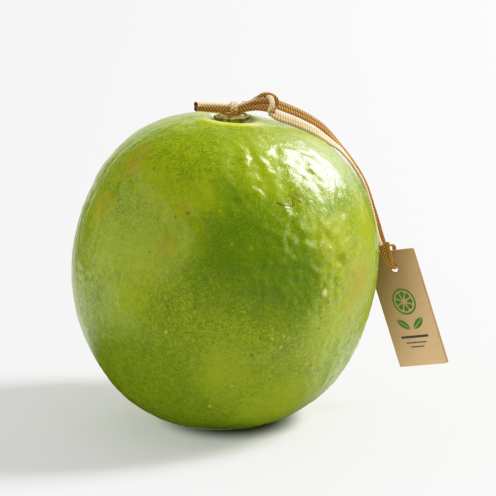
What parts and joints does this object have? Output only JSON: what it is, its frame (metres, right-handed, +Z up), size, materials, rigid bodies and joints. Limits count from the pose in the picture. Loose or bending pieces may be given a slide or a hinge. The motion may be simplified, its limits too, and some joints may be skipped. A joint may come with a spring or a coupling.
{
  "type": "key lime",
  "caption": "Ripe green lime with a woody stem button, a flat braided cord tied over the stem and knotted, and a kraft card tag hanging on it.",
  "frame": {"origin": "middle of the fruit's underside, on the small flat spot that it rests on", "axes": "+Z up through the stem end; +X towards the side the tag hangs on; the picture looks along +Y"},
  "size_m": [0.062, 0.05, 0.0545],
  "materials": {
    "lime_skin": "waxy, pitted citrus skin with a soft shine",
    "stem_wood": "dry, dull",
    "braid_cord": "flat tubular braid of tan thread with a slight sheen",
    "kraft_card": "uncoated kraft card"
  },
  "bodies": {
    "root": {"fruit": "lime_skin", "stem_button": "stem_wood", "cord": "braid_cord", "tag": "kraft_card"}
  },
  "joints": []
}
